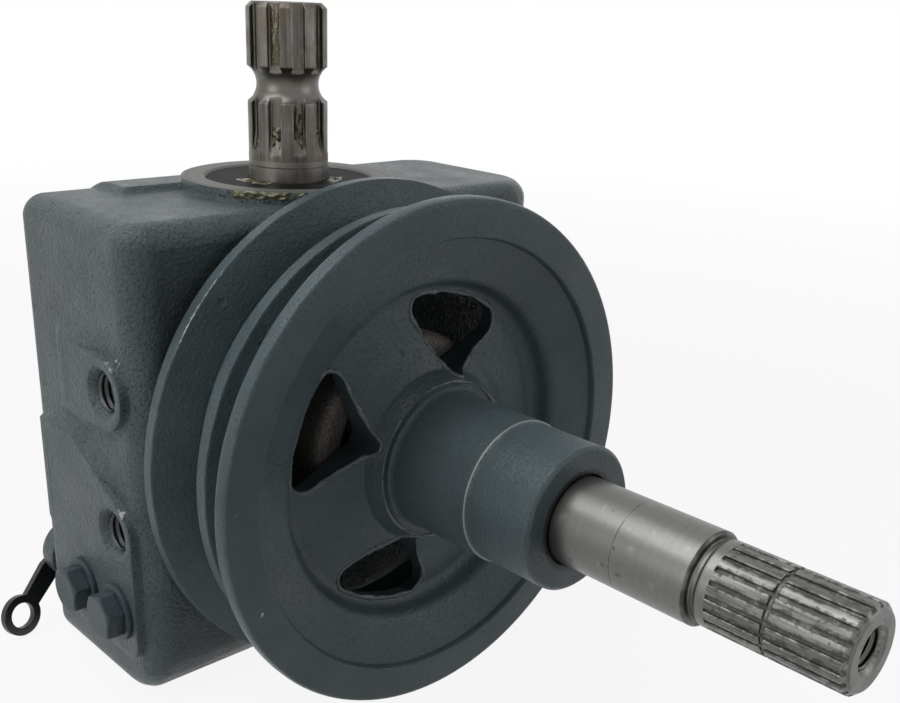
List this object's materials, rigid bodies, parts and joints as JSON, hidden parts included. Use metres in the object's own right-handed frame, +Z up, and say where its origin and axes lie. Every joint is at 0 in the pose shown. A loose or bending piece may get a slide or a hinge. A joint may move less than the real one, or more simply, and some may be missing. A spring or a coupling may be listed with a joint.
{
  "type": "right angle bevel gearbox with belt pulley",
  "caption": "Cast right angle bevel gearbox: splined input shaft, belt pulley on the output shaft, splined stub end, side mounting holes and a dipstick with a pull ring.",
  "frame": {"origin": "on the case's flat base, right below the point where the two shaft axes cross", "axes": "+Z up along the input shaft, -Y to the front along the output shaft, +X to the right seen from the front"},
  "size_m": [0.1832, 0.2621, 0.2041],
  "materials": {
    "case_paint": "satin blue grey paint on rough cast iron",
    "pulley_paint": "satin blue grey paint on smoother cast iron",
    "shaft_steel": "ground and hobbed steel, lightly scuffed",
    "gear_steel": "cut and hardened steel, oily",
    "bearing_steel": "polished bearing steel",
    "clip_steel": "phosphated spring steel",
    "bolt_zinc": "dull zinc plate",
    "cage_brass": "pressed brass",
    "seal_rubber": "oil resistant rubber over a steel ring",
    "gasket_fibre": "oil soaked fibre",
    "plug_rubber": "moulded black rubber"
  },
  "bodies": {
    "housing": {"gear_case": "case_paint", "rear_cover": "case_paint", "cover_gasket": "gasket_fibre", "cover_bolts": "bolt_zinc", "side_bolts": "case_paint", "side_washers": "case_paint", "input_seal": "seal_rubber", "output_seal": "seal_rubber", "input_bore_clip": "clip_steel", "output_bore_clip": "clip_steel", "input_outer_races": "bearing_steel", "front_outer_race": "bearing_steel", "rear_outer_race": "bearing_steel"},
    "input_drive": {"input_shaft": "shaft_steel", "input_bevel_gear": "gear_steel", "input_gear_key": "gear_steel", "input_gear_clip": "clip_steel", "input_inner_races": "bearing_steel", "input_spacer": "shaft_steel"},
    "output_drive": {"output_shaft": "shaft_steel", "output_bevel_gear": "gear_steel", "output_gear_key": "gear_steel", "output_gear_clip": "clip_steel", "pulley": "pulley_paint", "front_flange": "pulley_paint", "middle_flange": "pulley_paint", "rear_flange": "pulley_paint", "pulley_key": "gear_steel", "front_inner_race": "bearing_steel", "rear_inner_race": "bearing_steel", "rear_clip": "clip_steel"},
    "input_ball_train": {"input_balls": "bearing_steel", "input_ball_cages": "cage_brass"},
    "front_ball_train": {"front_balls": "bearing_steel", "front_ball_cage": "cage_brass"},
    "rear_ball_train": {"rear_balls": "bearing_steel", "rear_ball_cage": "cage_brass"},
    "dipstick": {"dipstick_plug": "plug_rubber", "dipstick_rod": "shaft_steel", "dipstick_ring": "seal_rubber"}
  },
  "joints": [
    {"name": "output_spin", "type": "hinge", "parent": "housing", "child": "output_drive", "pos_m": [0, 0, 0.0785], "axis": [0, -1, 0], "continuous": true},
    {"name": "input_spin", "type": "hinge", "parent": "housing", "child": "input_drive", "pos_m": [0, 0, 0.0785], "axis": [0, 0, 1], "continuous": true},
    {"name": "input_balls_roll", "type": "hinge", "parent": "housing", "child": "input_ball_train", "pos_m": [0, 0, 0.0785], "axis": [0, 0, 1], "continuous": true},
    {"name": "front_balls_roll", "type": "hinge", "parent": "housing", "child": "front_ball_train", "pos_m": [0, 0, 0.0785], "axis": [0, -1, 0], "continuous": true},
    {"name": "rear_balls_roll", "type": "hinge", "parent": "housing", "child": "rear_ball_train", "pos_m": [0, 0, 0.0785], "axis": [0, -1, 0], "continuous": true},
    {"name": "dipstick_pull", "type": "slide", "parent": "housing", "child": "dipstick", "axis": [0, 1, 0], "range_m": [0, 0.06]}
  ],
  "couplings": [
    {"joint": "input_spin", "follows": "output_spin", "ratio": -0.85},
    {"joint": "input_balls_roll", "follows": "output_spin", "ratio": -0.33779},
    {"joint": "front_balls_roll", "follows": "output_spin", "ratio": 0.3974},
    {"joint": "rear_balls_roll", "follows": "output_spin", "ratio": 0.39839}
  ]
}
